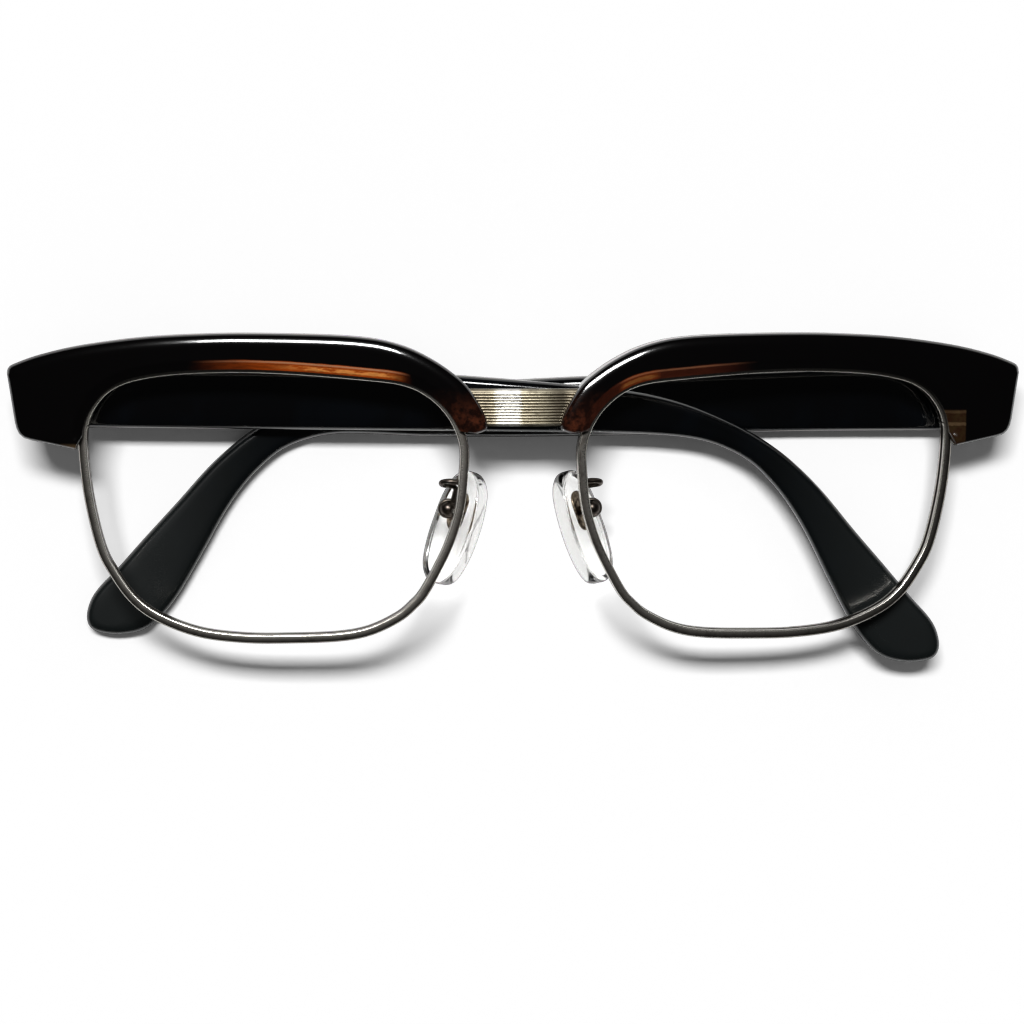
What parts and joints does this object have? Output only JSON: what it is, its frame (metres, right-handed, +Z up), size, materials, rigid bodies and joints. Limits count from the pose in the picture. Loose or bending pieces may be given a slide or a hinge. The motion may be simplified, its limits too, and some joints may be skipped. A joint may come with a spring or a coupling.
{
  "type": "eyeglass frame",
  "caption": "Folded browline eyeglass frame: plastic brows over thin metal rims, grooved bridge plate, clear nose pads and hinged paddle-ended temples.",
  "frame": {"origin": "middle of the bounding box's bottom face, in the folded rest pose", "axes": "the front faces -Y, +Z is up as worn, +X is to the right in the picture, which is the wearer's left"},
  "size_m": [0.1412, 0.0192, 0.0475],
  "materials": {
    "brow_plastic": "polished near-black acetate with amber and red-brown tortoise along the lower front edge and the nose ends",
    "temple_plastic": "polished black acetate with a faint navy sheen",
    "rim_metal": "antique silver, darkened, with lighter worn edges",
    "bridge_metal": "warm silver with fine engraved lines",
    "hinge_metal": "nickel silver, satin",
    "screw_metal": "bright steel",
    "core_metal": "drawn wire",
    "insert_metal": "dull nickel",
    "pad_clear": "clear soft plastic"
  },
  "bodies": {
    "front": {"brow_left": "brow_plastic", "brow_right": "brow_plastic", "rim_left": "rim_metal", "rim_right": "rim_metal", "bridge": "bridge_metal", "rim_block_upper_left": "rim_metal", "rim_block_upper_right": "rim_metal", "rim_block_lower_left": "rim_metal", "rim_block_lower_right": "rim_metal", "closing_screw_left": "screw_metal", "closing_screw_right": "screw_metal", "brow_tab_inner_left": "rim_metal", "brow_tab_inner_right": "rim_metal", "brow_tab_outer_left": "rim_metal", "brow_tab_outer_right": "rim_metal", "brow_screw_inner_left": "screw_metal", "brow_screw_inner_right": "screw_metal", "brow_screw_outer_left": "screw_metal", "brow_screw_outer_right": "screw_metal", "front_hinge_left": "hinge_metal", "front_hinge_right": "hinge_metal", "hinge_screw_left": "screw_metal", "hinge_screw_right": "screw_metal", "pad_arm_left": "rim_metal", "pad_arm_right": "rim_metal", "pad_screw_left": "screw_metal", "pad_screw_right": "screw_metal"},
    "temple_left": {"temple_left": "temple_plastic", "temple_hinge_left": "hinge_metal", "core_wire_left": "core_metal"},
    "temple_right": {"temple_right": "temple_plastic", "temple_hinge_right": "hinge_metal", "core_wire_right": "core_metal"},
    "pad_left": {"nose_pad_left": "pad_clear", "pad_insert_left": "insert_metal"},
    "pad_right": {"nose_pad_right": "pad_clear", "pad_insert_right": "insert_metal"}
  },
  "joints": [
    {"name": "left_temple_fold", "type": "hinge", "parent": "front", "child": "temple_left", "pos_m": [-0.0635, 0.00095, 0.03858], "axis": [0, 0, 1], "range_deg": [0, 92]},
    {"name": "right_temple_fold", "type": "hinge", "parent": "front", "child": "temple_right", "pos_m": [0.0635, 0.00095, 0.03858], "axis": [0, 0, -1], "range_deg": [0, 88.6]},
    {"name": "left_pad_rock", "type": "hinge", "parent": "front", "child": "pad_left", "pos_m": [-0.01135, -0.00182, 0.02253], "axis": [0.453, -0.8777, -0.156], "range_deg": [-10, 5]},
    {"name": "right_pad_rock", "type": "hinge", "parent": "front", "child": "pad_right", "pos_m": [0.01135, -0.00182, 0.02253], "axis": [0.453, 0.8777, 0.156], "range_deg": [-10, 5]}
  ]
}
